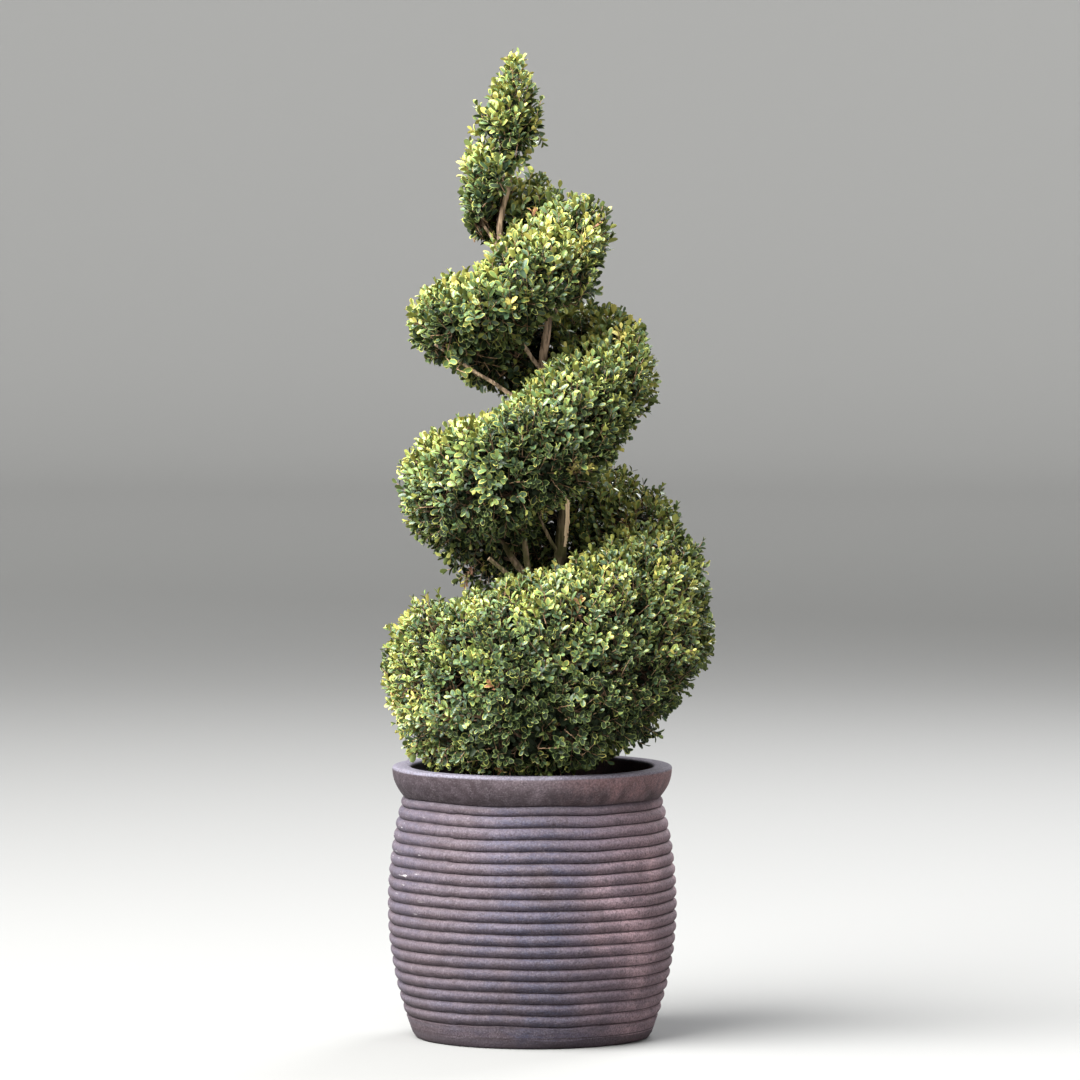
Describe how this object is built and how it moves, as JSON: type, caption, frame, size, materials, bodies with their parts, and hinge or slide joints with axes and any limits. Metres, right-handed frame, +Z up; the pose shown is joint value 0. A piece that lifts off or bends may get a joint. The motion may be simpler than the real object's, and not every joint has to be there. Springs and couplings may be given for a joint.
{
  "type": "potted spiral boxwood topiary",
  "caption": "Evergreen shrub clipped into a rising spiral round its bent trunk, growing in a tall ribbed barrel-shaped planter.",
  "frame": {"origin": "middle of the planter's flat underside, which stands on the ground", "axes": "+Z up along the planter's axis, +X to the right and +Y to the back as seen from the side shown in the picture"},
  "size_m": [0.4989, 0.4957, 1.5282],
  "materials": {
    "clay": "matte mauve-grey with bluish patches and pale scuffs",
    "earth": "moist dark potting compost",
    "bark": "furrowed olive-brown bark, paler higher up",
    "foliage": "small glossy evergreen leaves with pale undersides"
  },
  "bodies": {
    "root": {"pot": "clay", "soil": "earth", "trunk": "bark", "bough_front_2": "bark", "bough_stub": "bark", "bough_twig_2": "bark", "bough_back_2": "bark", "bough_left_2": "bark", "bough_right_2": "bark", "bough_back_3": "bark", "bough_left_3": "bark", "bough_front_3": "bark", "bough_right_3": "bark", "bough_back_4": "bark", "bough_left_4": "bark", "coil_1_back": "foliage", "coil_1_left": "foliage", "coil_1_front": "foliage", "coil_1_right": "foliage", "coil_2_back": "foliage", "coil_2_left": "foliage", "coil_2_front": "foliage", "coil_2_right": "foliage", "coil_3_back": "foliage", "coil_3_left": "foliage", "coil_3_front": "foliage", "coil_3_right": "foliage", "coil_4_back": "foliage", "coil_4_left": "foliage", "coil_4_front": "foliage", "crown_tip": "foliage"}
  },
  "joints": []
}
